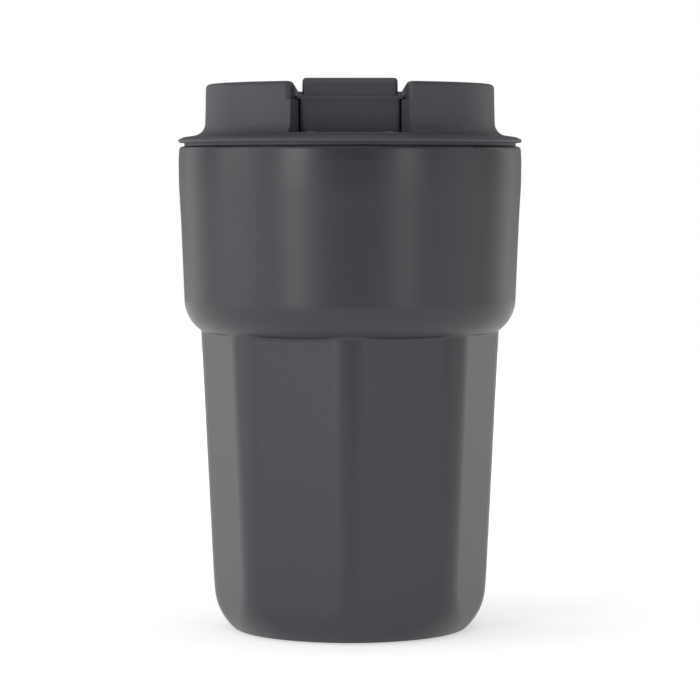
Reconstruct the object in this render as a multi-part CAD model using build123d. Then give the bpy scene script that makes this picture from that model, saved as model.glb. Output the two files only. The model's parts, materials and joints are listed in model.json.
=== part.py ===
from build123d import *
import math
import os

# Insulated flip-top travel mug. Millimetres, +Z up, origin at the middle of the base.
# The drinking side faces -Y and the flap's hinge runs along X.

# ---- driving dimensions of the cup ----
COLLAR_RADIUS = 42.5          # widest part of the round collar
RIM_HEIGHT = 119.9            # top of the cup's rim
SHELL_WALL = 0.6
LINER_WALL = 0.5
FACET_COUNT = 8
REACH_TOP = 37.1              # centre to facet edge where the collar sits on the facets
REACH_BOTTOM = 34.17          # the same where the bottom corner starts
FACETS_TOP = 75.0
COLLAR_UNDERSIDE = 73.6       # where the collar's curve meets the facets
COLLAR_HEM_RADIUS = 36.9      # outer corner of the collar's flat underside
COLLAR_HEM_HEIGHT = 74.27
COLLAR_BEND_RADIUS = 40.98    # corner between underside and wall, before it is rounded
COLLAR_BEND_HEIGHT = 77.34
COLLAR_BEND_ROUND = 9.4
COLLAR_MIDDLE_RADIUS = 41.95  # the wall leans out up to here, then stands almost upright
COLLAR_MIDDLE_HEIGHT = 101.5
COLLAR_UPPER_HEIGHT = 110.5
COLLAR_TOP_HEIGHT = 116.5
RIM_ROUND = 0.9
CREASE_ROUND = 1.0
FACETS_BOTTOM = 14.1
EDGE_ROUND_TOP = 11.5         # rounding of the upright facet edges
EDGE_ROUND_BOTTOM = 9.5
SHELL_UNDERSIDE = 0.3         # the foot pad stands this far proud of the steel
SHELL_OPENING = 26.6          # radius of the hole in the shell's bottom
MOUTH_RADIUS = 39.1
RIM_WELD_RADIUS = 40.6        # where shell and liner meet on the rim
LIP_DEPTH = 3.0               # how far the liner's lip reaches down the mouth
LIP_ROUND = 0.7
LINER_WAIST = 30.9            # liner radius just under the collar
LINER_WAIST_HEIGHT = 71.0
LINER_SHOULDER_HEIGHT = 82.0
LINER_BEND = 9.0              # rounding at the waist and the shoulder
LINER_FOOT = 28.2
LINER_FOOT_ROUND = 7.0
LINER_FLOOR = 8.1

# ---- driving dimensions of the lid ----
FLANGE_UNDERSIDE = 120.8
FLANGE_RADIUS = 42.57
STEP_RADIUS = 41.1            # the step under the flange that stops on the rim
STEP_UNDERSIDE = 119.98
FLANGE_SHOULDER_RADIUS = 41.2
FLANGE_SHOULDER_RISE = 1.4
DRUM_RADIUS = 35.8
DRUM_FOOT_HEIGHT = 122.95     # where flange and drum would meet without their blend
DRUM_BLEND = 3.2
DRUM_EDGE_ROUND = 1.1
DRUM_TOP = 135.2
DRUM_WALL = 1.8
CHANNEL_FLOOR = 123.0
FLOOR_THICKNESS = 1.5
CHANNEL_HALF = 12.25          # low front part of the channel
CHANNEL_HALF_WIDE = 13.35     # above the ledges, and behind the hinge
CHANNEL_HALF_MOUTH = 14.1     # where it opens through the drum's face
CHANNEL_TURN_Y = -28.9        # in front of this the channel flares
CHANNEL_TURN_ROUND = 2.0
CHANNEL_FLARE_LENGTH = 3.9
CHANNEL_WIDE_FROM_Y = -6.0    # behind this it is wide down to its floor
CHANNEL_EDGE_ROUND = 1.2
LEDGE_HEIGHT = 130.8
CHEEK_WALL = 1.6
BOSS_HALF = 2.2               # half the length of the bosses that carry the pin
PLUG_RADIUS = 38.1
PLUG_UNDERSIDE = 106.0
PLUG_WALL = 1.5
SLOT_LENGTH = 14.0
SLOT_WIDTH = 6.4
SLOT_Y = -22.0
VENT_Y = -10.0
VENT_RADIUS = 1.1

# ---- driving dimensions of the flap ----
HINGE_Y = 2.0
HINGE_Z = 130.6
PIN_RADIUS = 1.25
PIN_CLEARANCE = 0.05
PIN_HALF = 17.9
PIN_HOLE_HALF = 30.0          # past the bosses, and short of the drum's wall
BARREL_RADIUS = 3.0
FLAP_HALF = 12.0
FLAP_PLATE_HALF = 13.1
FLAP_FRONT = -28.5            # face of the flap's front wall
FLAP_TOP = 131.8
FLAP_PLATE = 0.8              # thickness of the plate where it overhangs the walls
FLAP_UNDERSIDE = 123.15
FLAP_WALL = 1.5
RIDGE_TOP = 136.1
RIDGE_HALF = 11.4
STOPPER_UNDERSIDE = 121.3

TALL = 200.0                  # longer than anything, for cuts that go right through
BELOW_LID = 100.0             # a height under all of the lid, where cuts through it start


# ---- shapes that several pieces use ----
def outline(corners, plane=Plane.XZ):
    """A flat face from corners given as (x, y) or (x, y, rounding radius)."""
    points = [corner[:2] for corner in corners]
    radii = [corner[2] if len(corner) > 2 else 0.0 for corner in corners]
    return plane * make_face(FilletPolyline(*points, radius=radii, close=True))


def turned(corners):
    """A solid of revolution from (radius, height) or (radius, height, rounding) corners."""
    return revolve(outline(corners), Axis.Z)


def side_profile(corners, half_width):
    """A solid along X from (y, z) or (y, z, rounding) corners, equal on both sides."""
    return extrude(outline(corners, Plane.YZ), half_width, both=True)


def upright(corners, bottom, top):
    """An upright solid over a plan outline of (x, y) or (x, y, rounding) corners."""
    return Pos(0, 0, bottom) * extrude(outline(corners, Plane.XY), top - bottom)


def mirrored(corners):
    """Corners down one side at +X, and back up the other side at -X."""
    return corners + [(-corner[0],) + tuple(corner[1:]) for corner in reversed(corners)]


def cross_rod(radius, half_length, y, z):
    """A round rod along X, equal on both sides."""
    return Pos(0, y, z) * Rot(0, 90, 0) * Cylinder(radius, 2 * half_length)


def drum(radius, bottom, top, x=0.0, y=0.0):
    """An upright cylinder between two heights."""
    return Pos(x, y, (bottom + top) / 2) * Cylinder(radius, top - bottom)


def slot_bar(length, width, bottom, top, y):
    """An upright bar with round ends, long along X."""
    return Pos(0, y, bottom) * extrude(SlotOverall(length, width), top - bottom)


def facet_section(reach, rounding, height):
    """A rounded polygon with an edge towards the front; reach is centre to rounded edge."""
    half_angle = math.pi / FACET_COUNT
    sharp_reach = reach + rounding * (1 / math.cos(half_angle) - 1)
    polygon = RegularPolygon(sharp_reach, FACET_COUNT)
    return Pos(0, 0, height) * fillet(polygon.vertices(), rounding)


# ---- cup ----
def facet_body(inset, underside):
    """The eight-sided lower body: straight facets over a corner that turns round at the base."""
    facets = loft([
        facet_section(REACH_BOTTOM - inset, EDGE_ROUND_BOTTOM - inset, FACETS_BOTTOM),
        facet_section(REACH_TOP - inset, EDGE_ROUND_TOP - inset, FACETS_TOP),
    ], ruled=True)
    corner_shape = (          # share of the corner's height, reach, rounding of the edges
        (0.0, 29.2, 27.8),
        (0.08, 30.35, 26.5),
        (0.26, 32.15, 21.5),
        (0.44, 33.24, 16.0),
        (0.71, 33.9, 11.0),
        (1.0, REACH_BOTTOM, EDGE_ROUND_BOTTOM),
    )
    corner_height = FACETS_BOTTOM - underside
    corner = loft([
        facet_section(reach - inset, rounding - inset, underside + share * corner_height)
        for share, reach, rounding in corner_shape
    ])
    return facets + corner


def collar_body(inset):
    """The round collar, slightly tapered, with a large curve in under its lower edge."""
    return turned([
        (0, COLLAR_UNDERSIDE + inset),
        (COLLAR_HEM_RADIUS - 2.9, COLLAR_UNDERSIDE + inset),
        (COLLAR_HEM_RADIUS - 0.45 * inset, COLLAR_HEM_HEIGHT + 0.9 * inset, 0.8),
        (COLLAR_BEND_RADIUS - inset, COLLAR_BEND_HEIGHT + 0.5 * inset, COLLAR_BEND_ROUND - inset),
        (COLLAR_MIDDLE_RADIUS - inset, COLLAR_MIDDLE_HEIGHT, 100.0),
        (COLLAR_RADIUS - 0.05 - inset, COLLAR_UPPER_HEIGHT, 60.0),
        (COLLAR_RADIUS + 0.02 - inset, COLLAR_TOP_HEIGHT, 12.0),
        (COLLAR_RADIUS - 0.2 - inset, RIM_HEIGHT, RIM_ROUND),
        (0, RIM_HEIGHT),
    ])


def make_outer_shell():
    outside = collar_body(0) + facet_body(0, SHELL_UNDERSIDE)
    crease = outside.edges().filter_by(
        lambda edge: COLLAR_UNDERSIDE + 0.1 < edge.center().Z < COLLAR_HEM_HEIGHT + 0.28
    )
    outside = fillet(crease, CREASE_ROUND)
    inner_collar = collar_body(SHELL_WALL) & drum(COLLAR_RADIUS, 0, RIM_HEIGHT - SHELL_WALL)
    inside = inner_collar + facet_body(SHELL_WALL, SHELL_UNDERSIDE + SHELL_WALL)
    shell = outside - inside
    shell -= drum(RIM_WELD_RADIUS, COLLAR_TOP_HEIGHT + 1.4, TALL)
    return shell - drum(SHELL_OPENING, 0, LINER_FLOOR / 2)


def liner_form(inset):
    """The liner's outer form, or its inside when it is inset by the wall."""
    grow = LINER_WALL - inset
    return turned([
        (0, LINER_FLOOR - grow),
        (LINER_FOOT + grow, LINER_FLOOR - grow, LINER_FOOT_ROUND - inset),
        (LINER_WAIST + grow, LINER_WAIST_HEIGHT, LINER_BEND + inset),
        (MOUTH_RADIUS + grow, LINER_SHOULDER_HEIGHT, LINER_BEND - inset),
        (MOUTH_RADIUS + grow, RIM_HEIGHT),
        (0, RIM_HEIGHT),
    ])


def make_inner_liner():
    cup = liner_form(0) - liner_form(LINER_WALL)
    lip_bottom = RIM_HEIGHT - LIP_DEPTH
    lip = turned([
        (MOUTH_RADIUS, lip_bottom),
        (MOUTH_RADIUS, RIM_HEIGHT, LIP_ROUND),
        (RIM_WELD_RADIUS, RIM_HEIGHT),
        (RIM_WELD_RADIUS, RIM_HEIGHT - SHELL_WALL),
        (MOUTH_RADIUS + LINER_WALL, RIM_HEIGHT - SHELL_WALL, 0.3),
        (MOUTH_RADIUS + LINER_WALL, lip_bottom),
    ])
    return cup - drum(MOUTH_RADIUS + 1, lip_bottom, TALL) + lip


PLATE_UNDERSIDE = SHELL_UNDERSIDE + SHELL_WALL
PLATE_RADIUS = 28.2
PLATE_RISE = 1.1              # the plate's middle stands this far above its edge
DIMPLE_RISE = 1.3             # and the pump-out dimple this far above the middle
DIMPLE_RADIUS = 4.5
PUMP_HOLE_RADIUS = 0.8
GETTER_Y = 14.0
GETTER_CUP_RADIUS = 3.2
GETTER_CUP_WALL = 0.4
GETTER_CUP_FLOOR = 0.3
GETTER_CUP_HEIGHT = 2.2
PELLET_HEIGHT = 1.6


def make_base_plate():
    low = PLATE_UNDERSIDE
    middle = low + PLATE_RISE
    dimple = middle + DIMPLE_RISE
    return turned([
        (PUMP_HOLE_RADIUS, dimple),
        (DIMPLE_RADIUS - 1.2, dimple),
        (DIMPLE_RADIUS, middle),
        (SHELL_OPENING - 0.8, middle),
        (SHELL_OPENING - 0.2, low),
        (PLATE_RADIUS, low),
        (PLATE_RADIUS, low + SHELL_WALL),
        (SHELL_OPENING + 0.2, low + SHELL_WALL),
        (SHELL_OPENING - 0.4, middle + SHELL_WALL),
        (DIMPLE_RADIUS + 0.4, middle + SHELL_WALL),
        (DIMPLE_RADIUS - 0.8, dimple + SHELL_WALL),
        (PUMP_HOLE_RADIUS, dimple + SHELL_WALL),
    ])


def make_vacuum_seal():
    dimple = PLATE_UNDERSIDE + PLATE_RISE + DIMPLE_RISE
    return turned([(0, dimple - 0.9), (1.6, dimple - 0.9, 0.3), (2.4, dimple), (0, dimple)])


def make_getter_holder():
    floor = PLATE_UNDERSIDE + PLATE_RISE + SHELL_WALL
    cup = drum(GETTER_CUP_RADIUS, floor, floor + GETTER_CUP_HEIGHT)
    cup -= drum(GETTER_CUP_RADIUS - GETTER_CUP_WALL, floor + GETTER_CUP_FLOOR, TALL)
    return Pos(0, GETTER_Y, 0) * cup


def make_getter_pellet():
    floor = PLATE_UNDERSIDE + PLATE_RISE + SHELL_WALL + GETTER_CUP_FLOOR
    return drum(GETTER_CUP_RADIUS - GETTER_CUP_WALL - 0.05, floor, floor + PELLET_HEIGHT, y=GETTER_Y)


def make_base_pad():
    top = PLATE_UNDERSIDE + PLATE_RISE
    edge = SHELL_OPENING - 0.9
    return turned([(0, 0), (edge, 0, 0.4), (edge, top, 0.3), (0, top)])


# ---- lid ----
SEAL_SEAT = 110.2             # bottom of the groove for the lid's seal
SEAL_HEIGHT = 4.8
SEAL_GAP = 0.05
GROOVE_RADIUS = 35.9
GASKET_HEIGHT = 1.2
GASKET_WALL = 1.3
TUBE_WALL = 1.4
PLUG_CORNER = 2.2
PLUG_TOP = FLANGE_UNDERSIDE + 0.3
KEEPER_THICKNESS = 1.5        # the posts that stop the hinge pin from sliding out
KEEPER_WIDTH = 6.0


def channel_space(wall):
    """The channel across the drum, or with a wall, the channel together with its walls."""
    floor = CHANNEL_FLOOR - (FLOOR_THICKNESS if wall else 0)
    ledge = LEDGE_HEIGHT - wall
    turn_y = CHANNEL_TURN_Y + wall / 2
    wide_y = CHANNEL_WIDE_FROM_Y - wall
    far = FLANGE_RADIUS + 3.43
    spread = (CHANNEL_HALF_MOUTH - CHANNEL_HALF) / CHANNEL_FLARE_LENGTH * (far + turn_y)
    low_half = CHANNEL_HALF + wall
    wide_half = CHANNEL_HALF_WIDE + wall
    low = upright(mirrored([
        (low_half + spread, -far),
        (low_half, turn_y, CHANNEL_TURN_ROUND),
        (low_half, wide_y),
        (wide_half, wide_y),
        (wide_half, far),
    ]), floor, TALL)
    high = upright(mirrored([
        (wide_half + spread / 2, -far),
        (wide_half, turn_y, CHANNEL_TURN_ROUND),
        (wide_half, far),
    ]), ledge, TALL)
    return low + high


def drum_outside():
    """Flange and drum with the channel cut across it and its edges rounded."""
    body = turned([
        (0, FLANGE_UNDERSIDE),
        (FLANGE_RADIUS - 0.2, FLANGE_UNDERSIDE, 0.3),
        (FLANGE_RADIUS + 0.15, FLANGE_UNDERSIDE + FLANGE_SHOULDER_RISE / 2, 0.4),
        (FLANGE_SHOULDER_RADIUS, FLANGE_UNDERSIDE + FLANGE_SHOULDER_RISE, 1.2),
        (DRUM_RADIUS + 0.15, DRUM_FOOT_HEIGHT, DRUM_BLEND),
        (DRUM_RADIUS - 0.1, DRUM_TOP),
        (0, DRUM_TOP),
    ])
    body -= channel_space(0)
    standing = body.edges().filter_by(
        lambda edge: edge.bounding_box().max.Z > DRUM_TOP - 0.01 and edge.bounding_box().size.Z > 2
    )
    fronts = standing.filter_by(lambda edge: edge.length < 15 and edge.center().Y < -20)
    body = fillet(fronts, CHANNEL_EDGE_ROUND)
    standing = body.edges().filter_by(
        lambda edge: edge.bounding_box().max.Z > DRUM_TOP - 0.01 and edge.bounding_box().size.Z > 2
    )
    rears = standing.filter_by(lambda edge: edge.center().Y > 20)
    body = fillet(rears, CHANNEL_EDGE_ROUND)
    tops = body.edges().filter_by(
        lambda edge: edge.bounding_box().min.Z > DRUM_TOP - 0.01
    )
    return fillet(tops, DRUM_EDGE_ROUND)


def make_lid_cover():
    inside = DRUM_RADIUS - DRUM_WALL
    hollow = turned([
        (0, BELOW_LID),
        (PLUG_RADIUS + 0.2, BELOW_LID),
        (PLUG_RADIUS + 0.2, PLUG_TOP + 0.1),
        (inside + 0.6, PLUG_TOP + 0.1),
        (inside, CHANNEL_FLOOR + FLOOR_THICKNESS),
        (inside - 0.2, DRUM_TOP - DRUM_WALL, 1.0),
        (0, DRUM_TOP - DRUM_WALL),
    ])
    hollow -= channel_space(CHEEK_WALL)
    for side in (-1, 1):
        boss = cross_rod(BARREL_RADIUS + 0.4, BOSS_HALF, HINGE_Y, HINGE_Z)
        hollow -= Pos(side * (CHANNEL_HALF_WIDE + BOSS_HALF), 0, 0) * boss
    step = drum(STEP_RADIUS, STEP_UNDERSIDE, FLANGE_UNDERSIDE + 0.2)
    cover = drum_outside() + step - hollow
    cover -= slot_bar(SLOT_LENGTH, SLOT_WIDTH, BELOW_LID, TALL, SLOT_Y)
    cover -= drum(VENT_RADIUS, BELOW_LID, TALL, y=VENT_Y)
    return cover - cross_rod(PIN_RADIUS + 0.02, PIN_HOLE_HALF, HINGE_Y, HINGE_Z)


def plug_form(inset):
    """The lower moulding's outer form with its seal groove, or its inside when inset."""
    return turned([
        (0, PLUG_UNDERSIDE + inset),
        (PLUG_RADIUS - inset, PLUG_UNDERSIDE + inset, PLUG_CORNER - inset),
        (PLUG_RADIUS - inset, SEAL_SEAT - inset),
        (GROOVE_RADIUS - inset, SEAL_SEAT - inset),
        (GROOVE_RADIUS - inset, SEAL_SEAT + SEAL_HEIGHT + inset),
        (PLUG_RADIUS - inset, SEAL_SEAT + SEAL_HEIGHT + inset),
        (PLUG_RADIUS - inset, PLUG_TOP),
        (0, PLUG_TOP),
    ])


def make_lid_plug():
    plug = plug_form(0) - plug_form(PLUG_WALL)
    plug -= drum(PLUG_RADIUS - PLUG_WALL, FLANGE_UNDERSIDE - 3, TALL)
    tube_top = CHANNEL_FLOOR - FLOOR_THICKNESS - GASKET_HEIGHT
    floor = PLUG_UNDERSIDE + PLUG_WALL / 2
    plug += slot_bar(SLOT_LENGTH + 2 * TUBE_WALL, SLOT_WIDTH + 2 * TUBE_WALL, floor, tube_top, SLOT_Y)
    plug += drum(VENT_RADIUS + TUBE_WALL, floor, tube_top, y=VENT_Y)
    on_floor = (Align.CENTER, Align.CENTER, Align.MIN)
    keeper = Box(KEEPER_THICKNESS, KEEPER_WIDTH, HINGE_Z + 2 - floor, align=on_floor)
    for side in (-1, 1):
        plug += Pos(side * (PIN_HALF + KEEPER_THICKNESS / 2 + 0.15), HINGE_Y, floor) * keeper
    plug -= slot_bar(SLOT_LENGTH, SLOT_WIDTH, BELOW_LID, TALL, SLOT_Y)
    return plug - drum(VENT_RADIUS, BELOW_LID, TALL, y=VENT_Y)


def make_lid_seal():
    """Silicone ring with two fins that reach towards the liner."""
    low = SEAL_SEAT + SEAL_GAP
    high = SEAL_SEAT + SEAL_HEIGHT - SEAL_GAP
    root = PLUG_RADIUS
    tip = MOUTH_RADIUS - 0.15
    return turned([
        (GROOVE_RADIUS + 0.02, low),
        (root, low),
        (root, low + 0.5),
        (tip, low + 1.3),
        (tip, low + 1.7),
        (root, low + 1.5),
        (root, high - 1.9),
        (tip, high - 1.1),
        (tip, high - 0.7),
        (root, high - 0.9),
        (root, high),
        (GROOVE_RADIUS + 0.02, high),
    ])


def make_spout_gasket():
    top = CHANNEL_FLOOR - FLOOR_THICKNESS
    length = SLOT_LENGTH + 2 * GASKET_WALL
    width = SLOT_WIDTH + 2 * GASKET_WALL
    ring = slot_bar(length, width, top - GASKET_HEIGHT, top, SLOT_Y)
    return ring - slot_bar(SLOT_LENGTH, SLOT_WIDTH, BELOW_LID, TALL, SLOT_Y)


def make_vent_gasket():
    top = CHANNEL_FLOOR - FLOOR_THICKNESS
    ring = drum(VENT_RADIUS + GASKET_WALL, top - GASKET_HEIGHT, top, y=VENT_Y)
    return ring - drum(VENT_RADIUS, BELOW_LID, TALL, y=VENT_Y)


def make_hinge_pin():
    pin = cross_rod(PIN_RADIUS, PIN_HALF, HINGE_Y, HINGE_Z)
    return chamfer(pin.edges().filter_by(GeomType.CIRCLE), 0.3)


# ---- flap ----
RIDGE_FRONT = FLAP_FRONT + 0.4
RIDGE_BACK = -18.6
FLAP_CEILING = FLAP_TOP - 2.0
HEEL_FRONT_Y = -13.0          # where the flap's underside starts to sweep up
HEEL_BACK_Y = -1.6
HEEL_HEIGHT = 127.6
LINER_UNDERSIDE = 124.0
LINER_THICKNESS = 1.2
LINER_TOP = LINER_UNDERSIDE + LINER_THICKNESS


def flap_side(inset):
    """The lever seen from the side, without its ridge; the heel sweeps up to the barrel."""
    low = FLAP_UNDERSIDE - (2 if inset else 0)
    top = FLAP_CEILING if inset else FLAP_TOP
    return [
        (FLAP_FRONT + inset, low),
        (HEEL_FRONT_Y - inset, low, 4.0),
        (HEEL_BACK_Y - inset, HEEL_HEIGHT, 3.0),
        (HINGE_Y - 2.6 * inset, HEEL_HEIGHT + (1.4 if inset else 1.0)),
        (HINGE_Y - 2.6 * inset, top),
        (FLAP_FRONT + inset, top),
    ]


def ridge_side(inset, base):
    """The thumb ridge seen from the side: a steep rounded front and a hollowed back."""
    return [
        (RIDGE_FRONT + inset, base),
        (RIDGE_FRONT + 0.5 + inset, RIDGE_TOP - inset, max(2.0 - inset, 0.4)),
        (-22.6 - inset, RIDGE_TOP - inset, max(1.5 - inset, 0.4)),
        (-20.6 - inset, FLAP_TOP + 1.4, 2.5),
        (RIDGE_BACK - inset, base),
    ]


def make_flap_lever():
    body = side_profile(flap_side(0), FLAP_HALF)
    body = fillet(body.edges().filter_by(Axis.Z).sort_by(Axis.Y)[:2], 0.6)
    plate = upright(mirrored([(FLAP_PLATE_HALF, FLAP_FRONT - 0.4, 0.8), (FLAP_PLATE_HALF, HINGE_Y)]),
                    FLAP_TOP - FLAP_PLATE, FLAP_TOP)
    plate = fillet(plate.edges().group_by(Axis.Z)[-1].group_by(Axis.Y)[0], 0.35)
    ridge = side_profile(ridge_side(0, FLAP_TOP - 0.5), RIDGE_HALF)
    ridge_ends = ridge.faces().filter_by(Axis.X).edges()
    ridge = fillet(ridge_ends.filter_by(lambda edge: edge.center().Z > FLAP_TOP + 0.2), 0.9)
    lever = body + plate + ridge
    lever += cross_rod(BARREL_RADIUS, FLAP_PLATE_HALF - 0.1, HINGE_Y, HINGE_Z)
    lever -= side_profile(flap_side(FLAP_WALL), FLAP_HALF - FLAP_WALL)
    lever -= side_profile(ridge_side(FLAP_WALL, FLAP_CEILING - 0.5), RIDGE_HALF - FLAP_WALL - 0.3)
    return lever - cross_rod(PIN_RADIUS + PIN_CLEARANCE, PIN_HOLE_HALF, HINGE_Y, HINGE_Z)


STUD_X = 4.0
STUD_RADIUS = 1.5
STUD_HEAD = 2.2
VENT_PLUG_RADIUS = 1.1
CLIP_THICKNESS = 0.9


def make_flap_liner():
    half = FLAP_HALF - FLAP_WALL - 0.05
    plate = upright(mirrored([(half, FLAP_FRONT + FLAP_WALL + 0.05, 0.4), (half, -15.0)]),
                    LINER_UNDERSIDE, LINER_TOP)
    tongue = upright(mirrored([(4.0, -15.5), (4.0, -7.4, 1.0)]), LINER_UNDERSIDE, LINER_TOP)
    plate += tongue
    clip = Box(CLIP_THICKNESS, 9.0, 3.0, align=(Align.CENTER, Align.CENTER, Align.MIN))
    for side in (-1, 1):
        plate -= drum(STUD_RADIUS + 0.02, BELOW_LID, TALL, x=side * STUD_X, y=SLOT_Y)
        plate += Pos(side * (half - CLIP_THICKNESS / 2), SLOT_Y, LINER_TOP - 0.2) * clip
    return plate - drum(VENT_PLUG_RADIUS + 0.02, BELOW_LID, TALL, y=VENT_Y)


def make_spout_stopper():
    lip = slot_bar(SLOT_LENGTH + 2.8, SLOT_WIDTH + 2.2, CHANNEL_FLOOR + 0.15, LINER_UNDERSIDE, SLOT_Y)
    wide = Pos(0, SLOT_Y, CHANNEL_FLOOR + 0.2) * SlotOverall(SLOT_LENGTH - 0.5, SLOT_WIDTH - 0.5)
    narrow = Pos(0, SLOT_Y + 0.2, STOPPER_UNDERSIDE) * SlotOverall(SLOT_LENGTH - 2.8, SLOT_WIDTH - 2.6)
    stopper = lip + loft([narrow, wide])
    for side in (-1, 1):
        stopper += drum(STUD_RADIUS, LINER_UNDERSIDE, LINER_TOP, x=side * STUD_X, y=SLOT_Y)
        stopper += drum(STUD_HEAD, LINER_TOP, LINER_TOP + 1.0, x=side * STUD_X, y=SLOT_Y)
    return stopper


def make_vent_pad():
    pad = drum(2.6, CHANNEL_FLOOR + 0.15, LINER_UNDERSIDE, y=VENT_Y)
    pad += drum(VENT_PLUG_RADIUS, LINER_UNDERSIDE, LINER_TOP, y=VENT_Y)
    return pad + drum(1.8, LINER_TOP, LINER_TOP + 0.8, y=VENT_Y)


PIECES = {
    "outer_shell": make_outer_shell,
    "inner_liner": make_inner_liner,
    "base_plate": make_base_plate,
    "vacuum_seal": make_vacuum_seal,
    "getter_holder": make_getter_holder,
    "getter_pellet": make_getter_pellet,
    "base_pad": make_base_pad,
    "lid_cover": make_lid_cover,
    "lid_plug": make_lid_plug,
    "lid_seal": make_lid_seal,
    "spout_gasket": make_spout_gasket,
    "vent_gasket": make_vent_gasket,
    "hinge_pin": make_hinge_pin,
    "flap_lever": make_flap_lever,
    "flap_liner": make_flap_liner,
    "spout_stopper": make_spout_stopper,
    "vent_pad": make_vent_pad,
}

os.makedirs("parts", exist_ok=True)
for name, make in PIECES.items():
    export_step(make(), f"parts/{name}.step")
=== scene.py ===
"""Looks of an insulated flip-top travel mug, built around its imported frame."""

import json
import math

import bpy
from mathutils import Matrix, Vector


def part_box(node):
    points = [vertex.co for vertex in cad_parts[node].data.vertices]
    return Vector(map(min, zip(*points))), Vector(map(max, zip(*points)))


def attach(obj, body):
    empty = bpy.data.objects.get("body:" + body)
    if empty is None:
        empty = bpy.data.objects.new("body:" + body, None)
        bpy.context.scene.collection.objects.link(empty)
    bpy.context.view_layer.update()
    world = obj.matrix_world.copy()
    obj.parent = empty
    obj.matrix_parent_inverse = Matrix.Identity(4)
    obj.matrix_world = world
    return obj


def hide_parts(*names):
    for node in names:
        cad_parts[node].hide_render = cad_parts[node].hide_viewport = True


bl_info = {
    "name": "Insulated Travel Mug",
    "version": (1, 0, 0),
    "blender": (4, 5, 0),
    "location": "3D View > Sidebar > Mug",
    "description": "Models and finishes an insulated travel mug with a flip-top lid",
    "category": "Object",
}

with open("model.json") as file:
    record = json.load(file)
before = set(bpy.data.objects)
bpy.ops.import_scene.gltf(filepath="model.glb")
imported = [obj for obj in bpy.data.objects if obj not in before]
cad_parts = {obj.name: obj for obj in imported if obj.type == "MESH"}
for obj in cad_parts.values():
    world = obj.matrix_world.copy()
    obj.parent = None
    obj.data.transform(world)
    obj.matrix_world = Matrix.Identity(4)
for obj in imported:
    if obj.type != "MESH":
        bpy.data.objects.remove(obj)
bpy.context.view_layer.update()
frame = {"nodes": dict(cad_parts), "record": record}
MM = 0.001
WELD = 0.002 * MM     # points closer than this are one


# ---------------------------------------------------------------- settings
def colour(name, description, default):
    """A colour property as the user sees it, in scene-linear values."""
    return bpy.props.FloatVectorProperty(
        name=name, description=description, default=default, subtype="COLOR", size=3, min=0, max=1
    )


class MugColours(bpy.types.PropertyGroup):
    """Colours of the mug's finishes."""

    coat: colour("Coat", "Powder coat of the outer shell", (0.0298, 0.0291, 0.0365))
    lid: colour("Lid", "Moulded plastic of the lid and flap", (0.0500, 0.0488, 0.0600))
    plug: colour("Plug", "Moulded plastic of the parts inside the mouth", (0.022, 0.022, 0.024))
    silicone: colour("Silicone", "Seals, stopper and foot pad", (0.016, 0.016, 0.017))
    steel: colour("Steel", "Bare steel of the inner cup", (0.56, 0.55, 0.53))


class StudioSettings(bpy.types.PropertyGroup):
    """Camera of the studio the mug stands in."""

    camera_distance: bpy.props.FloatProperty(
        name="Camera Distance", description="From the mug's axis to the camera",
        default=0.7328, unit="LENGTH",
    )
    camera_height: bpy.props.FloatProperty(
        name="Camera Height", description="Camera above the floor",
        default=0.1129, unit="LENGTH",
    )
    aim_height: bpy.props.FloatProperty(
        name="Aim Height", description="Height on the mug's axis that the camera looks at",
        default=0.0693, unit="LENGTH",
    )
    lens: bpy.props.FloatProperty(
        name="Lens", description="Focal length on a 36 mm sensor",
        default=151.4, subtype="DISTANCE_CAMERA",
    )


# ---------------------------------------------------------------- shader maths
class Signal:
    """One shader socket that Python operators work on; each operator adds a Math node."""

    def __init__(self, graph, socket):
        self.graph = graph
        self.socket = socket

    def maths(self, operation, *others):
        return self.graph.add("ShaderNodeMath", {"operation": operation}, self, *others)

    def __add__(self, other):
        return self.maths("ADD", other)

    def __mul__(self, other):
        return self.maths("MULTIPLY", other)

    def __sub__(self, other):
        return self.maths("SUBTRACT", other)

    def __rsub__(self, other):
        return self.graph.add("ShaderNodeMath", {"operation": "SUBTRACT"}, other, self)

    __radd__ = __add__
    __rmul__ = __mul__

    def clamped(self):
        return self.graph.add("ShaderNodeClamp", {}, self)


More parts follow.
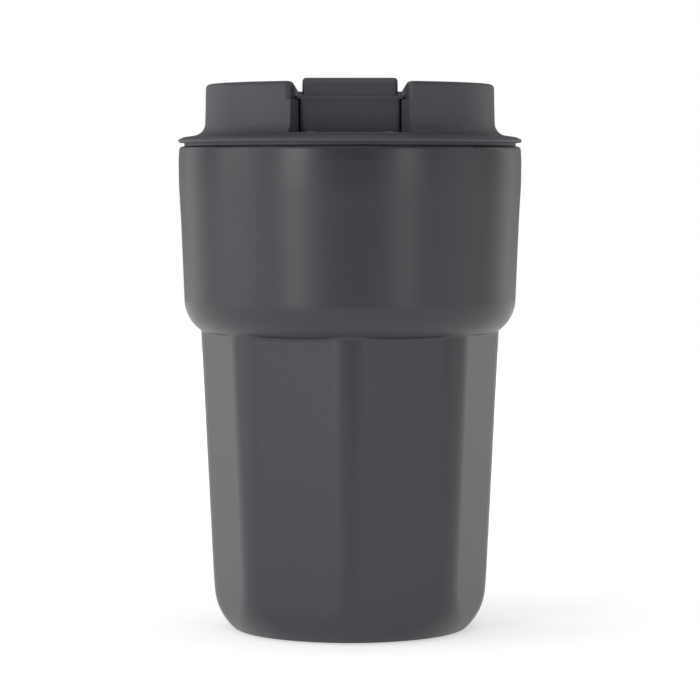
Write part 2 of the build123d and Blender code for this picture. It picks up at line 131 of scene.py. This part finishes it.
class Finish:
    """A material whose nodes are written as Python expressions."""

    def __init__(self, name):
        self.material = bpy.data.materials.new(name)
        self.material.use_nodes = True
        self.tree = self.material.node_tree
        self.tree.nodes.clear()
        self.shader = self.tree.nodes.new("ShaderNodeBsdfPrincipled")
        output = self.tree.nodes.new("ShaderNodeOutputMaterial")
        self.tree.links.new(self.shader.outputs["BSDF"], output.inputs["Surface"])
        place = self.tree.nodes.new("ShaderNodeTexCoord")
        self.place = Signal(self, place.outputs["Object"])

    def add(self, kind, settings, *values, output=0, **named):
        """Adds a node: its settings first, then the values or links of its sockets."""
        node = self.tree.nodes.new(kind)
        for key, value in settings.items():
            setattr(node, key, value)
        for index, value in enumerate(values):
            self.feed(node.inputs[index], value)
        for key, value in named.items():
            self.feed(node.inputs[key.replace("_", " ")], value)
        return Signal(self, node.outputs[output])

    def feed(self, socket, value):
        if isinstance(value, Signal):
            self.tree.links.new(value.socket, socket)
        else:
            socket.default_value = value

    def noise(self, scale, detail=3.0, roughness=0.5, place=None):
        return self.add("ShaderNodeTexNoise", {}, Vector=place or self.place, Scale=scale,
                        Detail=detail, Roughness=roughness)

    def ramp(self, value, low, high):
        """0 below low, 1 above high, smooth in between."""
        return self.add("ShaderNodeMapRange", {"interpolation_type": "SMOOTHSTEP"}, value, low, high)

    def axis(self, name):
        return self.add("ShaderNodeSeparateXYZ", {}, self.place, output=name)

    def mix(self, factor, first, second):
        """A colour between two colours."""
        node = self.tree.nodes.new("ShaderNodeMix")
        node.data_type = "RGBA"
        self.feed(node.inputs["Factor"], factor)
        self.feed(node.inputs[6], first)
        self.feed(node.inputs[7], second)
        return Signal(self, node.outputs[2])

    def relief(self, height, distance, strength):
        """Bump from a height value; distance is the depth in metres of a height of 1."""
        return self.add("ShaderNodeBump", {}, Height=height, Distance=distance, Strength=strength,
                        output="Normal")

    def set(self, **values):
        for key, value in values.items():
            self.feed(self.shader.inputs[key.replace("_", " ")], value)
        return self.material


def rgba(value, factor=1.0):
    return tuple(min(1.0, channel * factor) for channel in value) + (1.0,)


# ---------------------------------------------------------------- finishes
COAT_ROUGHNESS = 0.34
RIM_WEAR = (118.8 * MM, 119.9 * MM)     # heights over which the wear at the mouth sets in
FOOT_WEAR = (0.8 * MM, 4.5 * MM)        # heights over which the wear at the foot fades


def powder_coat(name, base):
    """Matte powder coat: fine pebbled skin, cloudy tone, rubbed a little at rim and foot."""
    f = Finish(name)
    pebble = f.noise(2300.0, detail=2.0)
    orange_peel = f.noise(420.0, detail=2.0)
    cloud = f.noise(38.0, detail=4.0)
    speck = f.ramp(f.noise(5200.0, detail=1.0), 0.62, 0.78)
    tone = f.mix(cloud, rgba(base, 0.94), rgba(base, 1.06))
    tone = f.mix(speck * 0.16, tone, rgba(base, 1.9))
    height = f.axis("Z")
    rim = f.ramp(height, *RIM_WEAR)
    foot = 1 - f.ramp(height, *FOOT_WEAR)
    rubbed = (rim * 0.35 + foot * 0.5) * f.ramp(f.noise(300.0, detail=5.0), 0.45, 0.7)
    tone = f.mix(rubbed.clamped() * 0.5, tone, rgba(base, 1.7))
    skin = pebble * 0.7 + orange_peel * 0.3
    return f.set(
        Base_Color=tone,
        Roughness=COAT_ROUGHNESS + pebble * 0.06 - rubbed * 0.05,
        Normal=f.relief(skin, 0.00006, 0.35),
        Specular_IOR_Level=0.5,
    )


def moulded_plastic(name, base, rough=0.5, grain=0.3):
    """Moulded plastic with a fine spark-eroded grain."""
    f = Finish(name)
    fine = f.noise(3400.0, detail=2.0)
    coarse = f.noise(900.0, detail=2.0)
    cloud = f.noise(55.0, detail=3.0)
    tone = f.mix(cloud, rgba(base, 0.95), rgba(base, 1.05))
    tone = f.mix(f.ramp(fine, 0.6, 0.8) * 0.12, tone, rgba(base, 1.6))
    return f.set(
        Base_Color=tone,
        Roughness=rough + fine * 0.08 + cloud * 0.03,
        Normal=f.relief(fine * 0.8 + coarse * 0.2, 0.00005, grain),
        Specular_IOR_Level=0.5,
    )


def silicone(name, base):
    """Matte silicone rubber with a faint bloom."""
    f = Finish(name)
    fine = f.noise(2600.0, detail=3.0)
    bloom = f.ramp(f.noise(160.0, detail=4.0), 0.4, 0.75)
    tone = f.mix(bloom * 0.5, rgba(base), rgba(base, 1.6))
    return f.set(
        Base_Color=tone,
        Roughness=0.62 + fine * 0.12,
        Normal=f.relief(fine, 0.00004, 0.3),
        Sheen_Weight=0.12,
        Sheen_Roughness=0.5,
    )


def turned_steel(name, base, rough=0.28):
    """Satin steel with fine marks that run round the mug's axis."""
    f = Finish(name)
    flat = f.add("ShaderNodeVectorMath", {"operation": "MULTIPLY"}, f.place, (1.0, 1.0, 0.0))
    radius = f.add("ShaderNodeVectorMath", {"operation": "LENGTH"}, flat, output="Value")
    across = f.add("ShaderNodeCombineXYZ", {}, radius, f.axis("Z"), 0.0)
    lines = f.noise(2400.0, detail=4.0, roughness=0.7, place=across)
    bands = f.noise(160.0, detail=2.0, place=across)
    smudge = f.noise(45.0, detail=4.0)
    tone = f.mix(bands, rgba(base, 0.9), rgba(base, 1.08))
    return f.set(
        Base_Color=tone,
        Metallic=1.0,
        Roughness=rough + lines * 0.12 + smudge * 0.06,
        Normal=f.relief(lines, 0.00004, 0.6),
    )


def drawn_steel(name, base):
    """Ground steel with marks along X."""
    f = Finish(name)
    along = f.add("ShaderNodeVectorMath", {"operation": "MULTIPLY"}, f.place, (0.05, 1.0, 1.0))
    lines = f.noise(3000.0, detail=3.0, place=along)
    return f.set(
        Base_Color=f.mix(lines, rgba(base, 0.9), rgba(base, 1.1)),
        Metallic=1.0,
        Roughness=0.22 + lines * 0.15,
        Normal=f.relief(lines, 0.00002, 0.3),
    )


def sintered(name, base, metallic):
    """Granular pressed or fused matter."""
    f = Finish(name)
    grains = f.noise(1800.0, detail=5.0, roughness=0.7)
    return f.set(
        Base_Color=f.mix(grains, rgba(base, 0.7), rgba(base, 1.3)),
        Metallic=metallic,
        Roughness=0.4 + grains * 0.3,
        Normal=f.relief(grains, 0.0001, 0.5),
    )


def paper(name):
    """Pale studio floor, whose glow rises behind the mug to the studio's white."""
    f = Finish(name)
    weave = f.noise(700.0, detail=3.0)
    near, far = (FLOOR_GLOW,) * 3 + (1,), (FAR_GLOW,) * 3 + (1,)
    return f.set(
        Base_Color=f.mix(weave, (0.90, 0.90, 0.90, 1), (0.93, 0.93, 0.93, 1)),
        Roughness=0.9,
        Specular_IOR_Level=0.1,
        Emission_Color=f.mix(f.ramp(f.axis("Y"), *GLOW_RISE), near, far),
        Emission_Strength=1.0,
    )


FINISH_OF_SLOT = {
    "coat": lambda name, colours: powder_coat(name, colours.coat),
    "steel": lambda name, colours: turned_steel(name, colours.steel),
    "pin_steel": lambda name, colours: drawn_steel(name, colours.steel),
    "lid_plastic": lambda name, colours: moulded_plastic(name, colours.lid),
    "plug_plastic": lambda name, colours: moulded_plastic(name, colours.plug, rough=0.4, grain=0.15),
    "seal_silicone": lambda name, colours: silicone(name, colours.silicone),
    "pad_silicone": lambda name, colours: silicone(name, colours.silicone),
    "solder_glass": lambda name, colours: sintered(name, (0.25, 0.22, 0.16), 0.0),
    "getter": lambda name, colours: sintered(name, (0.12, 0.12, 0.12), 0.8),
}


def finish_for(slot):
    """The material of a slot, made once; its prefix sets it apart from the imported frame's plain one."""
    name = "finish_" + slot
    if name not in bpy.data.materials:
        FINISH_OF_SLOT[slot](name, bpy.context.scene.mug_colours)
    return bpy.data.materials[name]


def dress(obj, slot):
    """Puts the slot's material on every face of an object."""
    obj.data.materials.clear()
    obj.data.materials.append(finish_for(slot))


# ---------------------------------------------------------------- modelling
def alone(piece):
    """Makes a piece the only selected object and the active one."""
    bpy.ops.object.select_all(action="DESELECT")
    piece.select_set(True)
    bpy.context.view_layer.objects.active = piece


def begin(add, name, **options):
    """Adds a primitive, and leaves it in edit mode with all of it selected."""
    bpy.ops.object.select_all(action="DESELECT")
    add(**options)
    piece = bpy.context.object
    piece.name = name
    bpy.ops.object.transform_apply(location=True, rotation=True, scale=True)
    bpy.ops.object.mode_set(mode="EDIT")
    bpy.ops.mesh.select_all(action="SELECT")
    return piece


def choose(piece, kind, wanted):
    """Selects the faces or vertices of a piece in edit mode whose place and normal pass a test."""
    bpy.ops.mesh.select_mode(type=kind)
    bpy.ops.mesh.select_all(action="DESELECT")
    bpy.ops.object.mode_set(mode="OBJECT")
    if kind == "FACE":
        for face in piece.data.polygons:
            face.select = wanted(face.center, face.normal)
    else:
        for vertex in piece.data.vertices:
            vertex.select = wanted(vertex.co, vertex.normal)
    bpy.ops.object.mode_set(mode="EDIT")


def turn(name, corners, steps=128, y=0.0):
    """Turns an outline of (radius, height) corners round an upright axis at y.

    An outline from the axis and back makes a disc; one that ends where it began makes a ring.
    """
    points = [Vector((radius, 0, height)) for radius, height in corners]
    piece = begin(bpy.ops.mesh.primitive_plane_add, name, size=MM)
    bpy.ops.mesh.merge(type="CENTER")
    choose(piece, "VERT", lambda place, normal: True)
    bpy.ops.transform.translate(value=points[0])
    for here, there in zip(points, points[1:]):
        bpy.ops.mesh.extrude_region_move(TRANSFORM_OT_translate={"value": there - here})
    bpy.ops.mesh.select_all(action="SELECT")
    bpy.ops.mesh.spin(steps=steps, angle=math.tau, center=(0, 0, 0), axis=(0, 0, 1))
    bpy.ops.mesh.select_all(action="SELECT")
    bpy.ops.mesh.remove_doubles(threshold=WELD)
    bpy.ops.mesh.normals_make_consistent(inside=False)
    bpy.ops.transform.translate(value=(0, y, 0))
    bpy.ops.object.mode_set(mode="OBJECT")
    return piece


def bar(name, length, width, low, high, y):
    """A round-ended bar along X, left in edit mode."""
    piece = begin(
        bpy.ops.mesh.primitive_cylinder_add, name, vertices=64, radius=width / 2, depth=high - low,
        location=(0, y, (low + high) / 2),
    )
    for side in (-1, 1):
        choose(piece, "VERT", lambda place, normal: place.x * side > WELD)
        bpy.ops.transform.translate(value=(side * (length - width) / 2, 0, 0))
    return piece


def grow(shrink, rise):
    """Insets the selected end face and pushes it along Z."""
    bpy.ops.mesh.inset(thickness=shrink, use_even_offset=True)
    bpy.ops.transform.translate(value=(0, 0, rise))


def soften(piece, width, segments=3, angle=35):
    """Rounds a piece's sharp edges and shades it smooth."""
    alone(piece)
    bevel = piece.modifiers.new("edges", "BEVEL")
    bevel.width = width
    bevel.segments = segments
    bevel.limit_method = "ANGLE"
    bevel.angle_limit = math.radians(angle)
    bpy.ops.object.modifier_apply(modifier=bevel.name)
    bpy.ops.object.shade_smooth_by_angle(angle=math.radians(angle))


def unite(piece, other):
    """Joins another closed piece to this one and removes it."""
    alone(piece)
    union = piece.modifiers.new("union", "BOOLEAN")
    union.operation = "UNION"
    union.object = other
    bpy.ops.object.modifier_apply(modifier=union.name)
    alone(other)
    bpy.ops.object.delete()


def settle(piece, body, slot, *nodes):
    """Dresses a finished piece and hangs it on its body in place of CAD nodes."""
    dress(piece, slot)
    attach(piece, body)
    if nodes:
        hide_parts(*nodes)


# ---------------------------------------------------------------- studio
FRONT_LEVEL = 0.0             # the studio's own light on the mug from the camera's side
BACK_LEVEL = 0.38             # and from behind
LEVEL_RISE = (-0.5, 0.7)      # Y of the directions between which it goes from one to the other
FLOOR_RADIUS = 1.15           # past it the studio's white is seen
FLOOR_GLOW = 0.53             # of the floor round the mug
FAR_GLOW = 1.0                # of the floor well behind it
GLOW_RISE = (0.1, 0.8)        # places along Y between which it goes from one to the other
LIGHT_AIM = Vector((0, 0, 0.07))
SOFTBOXES = (
    # name, azimuth, elevation, distance, width, height, power
    ("strip_left", -36, 8, 1.2, 0.12, 0.42, 3.05),
    ("strip_right", 37, 8, 1.2, 0.12, 0.42, 1.7),
    ("panel_left", -78, 12, 1.2, 0.8, 0.9, 4.7),
    ("panel_right", 78, 12, 1.2, 0.8, 0.9, 2.1),
    ("high_left", -65, 50, 1.2, 0.7, 0.5, 0.85),
    ("rim_left", -130, 12, 1.2, 0.5, 1.0, 1.4),
    ("rim_right", 130, 12, 1.2, 0.5, 1.0, 1.4),
    ("high_front", 0, 52, 1.2, 0.9, 0.4, 1.1),
    ("top", 0, 86, 1.0, 0.7, 0.7, 2.15),
)


# ---------------------------------------------------------------- operators
class MUG_OT_stage(bpy.types.Operator):
    """Make the floor, the lights and the camera"""

    bl_idname = "mug.stage"
    bl_label = "Studio"

    def execute(self, context):
        studio = context.scene.mug_studio
        self.floor()
        self.world()
        for box in SOFTBOXES:
            self.softbox(*box)
        self.camera(context, studio)
        context.scene.view_settings.view_transform = "Standard"
        return {"FINISHED"}

    def floor(self):
        bpy.ops.object.select_all(action="DESELECT")
        bpy.ops.mesh.primitive_circle_add(vertices=96, radius=FLOOR_RADIUS, fill_type="NGON")
        floor = bpy.context.object
        floor.name = "floor"
        floor.data.materials.append(paper("floor_paper"))

    def world(self):
        """A studio that the camera sees as white and that lights the mug from behind."""
        world = bpy.data.worlds.new("studio")
        bpy.context.scene.world = world
        world.use_nodes = True
        tree = world.node_tree
        direction = tree.nodes.new("ShaderNodeTexCoord").outputs["Generated"]
        split = tree.nodes.new("ShaderNodeSeparateXYZ")
        tree.links.new(direction, split.inputs["Vector"])
        level = tree.nodes.new("ShaderNodeMapRange")
        level.interpolation_type = "SMOOTHSTEP"
        level.inputs["From Min"].default_value, level.inputs["From Max"].default_value = LEVEL_RISE
        level.inputs["To Min"].default_value = FRONT_LEVEL
        level.inputs["To Max"].default_value = BACK_LEVEL
        tree.links.new(split.outputs["Y"], level.inputs["Value"])
        seen = tree.nodes.new("ShaderNodeMix")
        tree.links.new(tree.nodes.new("ShaderNodeLightPath").outputs["Is Camera Ray"], seen.inputs["Factor"])
        tree.links.new(level.outputs["Result"], seen.inputs["A"])
        seen.inputs["B"].default_value = 1.0
        back = tree.nodes["Background"]
        back.inputs["Color"].default_value = (1, 1, 1, 1)
        tree.links.new(seen.outputs["Result"], back.inputs["Strength"])

    def softbox(self, name, azimuth, elevation, distance, width, height, power):
        """An area light that faces the mug; azimuth 0 is the camera's side and 90 the right."""
        light = bpy.data.lights.new(name, "AREA")
        light.shape = "RECTANGLE"
        light.size = width
        light.size_y = height
        light.energy = power
        obj = bpy.data.objects.new(name, light)
        bpy.context.scene.collection.objects.link(obj)
        swing, rise = math.radians(azimuth), math.radians(elevation)
        way = Vector((math.sin(swing) * math.cos(rise), -math.cos(swing) * math.cos(rise), math.sin(rise)))
        obj.location = way * distance + LIGHT_AIM
        obj.rotation_euler = way.to_track_quat("Z", "Y").to_euler()

    def camera(self, context, studio):
        data = bpy.data.cameras.new("camera")
        data.lens = studio.lens
        data.sensor_width = 36.0
        camera = bpy.data.objects.new("camera", data)
        context.scene.collection.objects.link(camera)
        place = Vector((0, -studio.camera_distance, studio.camera_height))
        aim = Vector((0, 0, studio.aim_height))
        camera.location = place
        camera.rotation_euler = (place - aim).to_track_quat("Z", "Y").to_euler()
        context.scene.camera = camera


class MUG_OT_finishes(bpy.types.Operator):
    """Give every carried-over node its finish"""

    bl_idname = "mug.finishes"
    bl_label = "Finishes"

    def execute(self, context):
        for part in frame["record"]["subparts"]:
            dress(frame["nodes"][part["node"]], part["material_slot"])
        return {"FINISHED"}


# ---------------------------------------------------------------- soft pieces
PAD_CHAMFER = 0.4 * MM
CONTACT_RING = 3.0 * MM       # from the pad's edge to its outer groove
SEAL_DEPTH = 2.95 * MM        # from the fins' tips to the ring's bore
FIN_REACH = 0.9 * MM
FIN_BASES = (0.35 * MM, 2.45 * MM)      # above the ring's lower face
SKIRT = 0.85 * MM             # of the stopper below the flap's liner
GROOVE_SLOPE, GROOVE_DEPTH = 0.3 * MM, 0.18 * MM    # of the groove round the stopper's dome
DOME = (                      # steps down the dome: share of its depth, inset in mm
    (0.25, 0.12), (0.25, 0.16), (0.2, 0.24), (0.15, 0.3), (0.1, 0.4), (0.05, 0.5),
)
STUD_X = 4.0 * MM
STUD_RADIUS = 1.48 * MM
STUD_HEAD = 2.2 * MM
GASKET_WALL = 1.3 * MM


class MUG_OT_foot_pad(bpy.types.Operator):
    """Mould the silicone pad under the base, with its contact rings"""

    bl_idname = "mug.foot_pad"
    bl_label = "Foot Pad"

    def execute(self, context):
        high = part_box("base_pad")[1]
        rim, top = high.x, high.z
        edge = rim - CONTACT_RING
        corners = [(0, top), (rim, top), (rim, PAD_CHAMFER), (rim - PAD_CHAMFER, 0), (edge, 0)]
        for ring in self.grooves(edge):
            corners += ring
        pad = turn("foot_pad", corners)
        soften(pad, 0.1 * MM)
        settle(pad, "cup", "pad_silicone", "base_pad")
        return {"FINISHED"}

    def grooves(self, edge):
        """A deep groove inside the rim, then fine grooves between lands, and a dished middle."""
        deep, fine, land = 0.8 * MM, 0.5 * MM, 0.15 * MM
        yield [(edge - 0.3 * MM, deep), (edge - 1.7 * MM, deep), (edge - 2.0 * MM, land)]
        edge -= 2.0 * MM
        while edge > 9 * MM:
            edge -= 1.8 * MM
            yield [(edge, land), (edge - 0.2 * MM, fine), (edge - 0.9 * MM, fine), (edge - 1.1 * MM, land)]
            edge -= 1.1 * MM
        yield [(edge - 1.6 * MM, land), (edge - 2.0 * MM, deep), (0, deep)]


class MUG_OT_lid_seal(bpy.types.Operator):
    """Mould the lid's silicone seal, a ring with two soft fins"""

    bl_idname = "mug.lid_seal"
    bl_label = "Lid Seal"

    def execute(self, context):
        low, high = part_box("lid_seal")
        tip = high.x
        root = tip - FIN_REACH
        inner = tip - SEAL_DEPTH
        outline = [(inner, low.z), (root, low.z)]
        for rise in FIN_BASES:
            base = low.z + rise
            outline += [(root, base), (root + 0.12 * MM, base + 0.2 * MM)]
            outline += [(tip - 0.15 * MM, base + 0.62 * MM), (tip, base + 0.85 * MM)]
            outline += [(tip - 0.03 * MM, base + 1.05 * MM), (tip - 0.25 * MM, base + 1.12 * MM)]
            outline += [(root + 0.12 * MM, base + 0.95 * MM), (root, base + 1.1 * MM)]
        outline += [(root, high.z), (inner, high.z), (inner, low.z)]
        seal = turn("lid_seal_ring", outline, steps=160)
        soften(seal, 0.08 * MM, segments=2)
        settle(seal, "lid", "seal_silicone", "lid_seal")
        return {"FINISHED"}


class MUG_OT_stoppers(bpy.types.Operator):
    """Mould the spout's domed stopper, with its groove and two studs, and the vent's cupped one"""

    bl_idname = "mug.stoppers"
    bl_label = "Stoppers"

    def execute(self, context):
        settle(self.spout(), "flap", "seal_silicone", "spout_stopper")
        settle(self.vent(), "flap", "seal_silicone", "vent_pad")
        return {"FINISHED"}

    def spout(self):
        low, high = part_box("spout_stopper")
        middle, size = (low + high) / 2, high - low
        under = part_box("flap_liner")[0].z
        skirt = under - SKIRT
        stopper = bar("stopper", size.x, size.y, skirt, under, middle.y)
        choose(stopper, "FACE", lambda place, normal: normal.z < -0.9)
        grow(0.5 * MM, 0.0)
        grow(GROOVE_SLOPE, GROOVE_DEPTH)
        grow(0.5 * MM, -GROOVE_DEPTH)
        depth = low.z - skirt
        for share, shrink in DOME:
            grow(shrink * MM, share * depth)
        bpy.ops.object.mode_set(mode="OBJECT")
        soften(stopper, 0.12 * MM, angle=40)
        for side in (-1, 1):
            unite(stopper, self.stud(side * STUD_X, middle.y, under, high.z))
        alone(stopper)
        bpy.ops.object.shade_smooth_by_angle(angle=math.radians(40))
        return stopper

    def stud(self, x, y, under, top):
        """A mushroom-headed stud that pulls through the flap's liner and holds the stopper."""
        foot = under - 0.4 * MM
        neck = top - 1.0 * MM
        outline = [(0, foot), (STUD_RADIUS, foot), (STUD_RADIUS, neck), (STUD_HEAD, neck)]
        outline += [(STUD_HEAD, neck + 0.25 * MM), (STUD_HEAD - 0.35 * MM, top - 0.15 * MM)]
        outline += [(STUD_HEAD - 0.75 * MM, top), (0, top)]
        stud = turn("stud", outline, steps=32, y=y)
        alone(stud)
        bpy.ops.transform.translate(value=(x, 0, 0))
        bpy.ops.object.transform_apply(location=True)
        return stud

    def vent(self):
        low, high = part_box("vent_pad")
        middle = (low + high) / 2
        edge = high.x
        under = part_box("flap_liner")[0].z
        cup = low.z + 0.12 * MM
        neck, head = 1.1 * MM, high.z - 0.8 * MM
        outline = [(0, cup), (0.9 * MM, cup), (1.2 * MM, low.z), (edge - 0.3 * MM, low.z)]
        outline += [(edge, low.z + 0.3 * MM), (edge, under), (neck, under), (neck, head)]
        outline += [(1.8 * MM, head), (1.6 * MM, high.z - 0.2 * MM), (1.2 * MM, high.z), (0, high.z)]
        pad = turn("vent_stopper", outline, steps=64, y=middle.y)
        soften(pad, 0.08 * MM, segments=2)
        return pad


class MUG_OT_gaskets(bpy.types.Operator):
    """Mould the two small gaskets between the lid's mouldings, round-edged rings"""

    bl_idname = "mug.gaskets"
    bl_label = "Gaskets"

    def execute(self, context):
        settle(self.spout(), "lid", "seal_silicone", "spout_gasket")
        settle(self.vent(), "lid", "seal_silicone", "vent_gasket")
        return {"FINISHED"}

    def spout(self):
        low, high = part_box("spout_gasket")
        middle, size = (low + high) / 2, high - low
        ring = bar("spout_gasket_ring", size.x, size.y, low.z, high.z, middle.y)
        choose(ring, "FACE", lambda place, normal: abs(normal.z) > 0.9)
        bpy.ops.mesh.inset(thickness=GASKET_WALL, use_even_offset=True, use_individual=True)
        bpy.ops.mesh.bridge_edge_loops()
        bpy.ops.object.mode_set(mode="OBJECT")
        soften(ring, 0.25 * MM)
        return ring

    def vent(self):
        low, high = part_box("vent_gasket")
        middle, edge = (low + high) / 2, high.x
        bore = edge - GASKET_WALL
        outline = [(bore, low.z), (edge, low.z), (edge, high.z), (bore, high.z), (bore, low.z)]
        ring = turn("vent_gasket_ring", outline, steps=64, y=middle.y)
        soften(ring, 0.2 * MM)
        return ring


class MUG_OT_rim_weld(bpy.types.Operator):
    """Lay the weld bead that joins the inner cup to the outer shell round the mouth"""

    bl_idname = "mug.rim_weld"
    bl_label = "Rim Weld"

    def execute(self, context):
        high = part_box("inner_liner")[1]
        edge, top = high.x, high.z
        half, sink = 0.35 * MM, 0.25 * MM
        arc = [math.pi * step / 8 for step in range(9)]
        outline = [(edge + half * math.cos(a), top - 0.02 * MM + 0.1 * MM * math.sin(a)) for a in arc]
        outline += [(edge - half, top - sink), (edge + half, top - sink), outline[0]]
        bead = turn("rim_weld", outline, steps=192)
        alone(bead)
        bpy.ops.object.shade_smooth_by_angle(angle=math.radians(50))
        settle(bead, "cup", "steel")
        return {"FINISHED"}


class MUG_PT_panel(bpy.types.Panel):
    """Sizes, colours and steps of the travel mug"""

    bl_label = "Travel Mug"
    bl_idname = "MUG_PT_panel"
    bl_space_type = "VIEW_3D"
    bl_region_type = "UI"
    bl_category = "Mug"

    def draw(self, context):
        for group in (context.scene.mug_colours, context.scene.mug_studio):
            for name in group.__annotations__:
                self.layout.prop(group, name)
        for step in STEPS:
            self.layout.operator(step.bl_idname)


STEPS = (
    MUG_OT_stage, MUG_OT_finishes, MUG_OT_foot_pad, MUG_OT_lid_seal, MUG_OT_stoppers, MUG_OT_gaskets,
    MUG_OT_rim_weld,
)
CLASSES = (MugColours, StudioSettings) + STEPS + (MUG_PT_panel,)


def register():
    for cls in CLASSES:
        bpy.utils.register_class(cls)
    bpy.types.Scene.mug_colours = bpy.props.PointerProperty(type=MugColours)
    bpy.types.Scene.mug_studio = bpy.props.PointerProperty(type=StudioSettings)


def unregister():
    del bpy.types.Scene.mug_studio
    del bpy.types.Scene.mug_colours
    for cls in reversed(CLASSES):
        bpy.utils.unregister_class(cls)


def main():
    register()
    for step in STEPS:
        getattr(bpy.ops.mug, step.bl_idname.split(".")[1])()


if __name__ == "__main__":
    main()
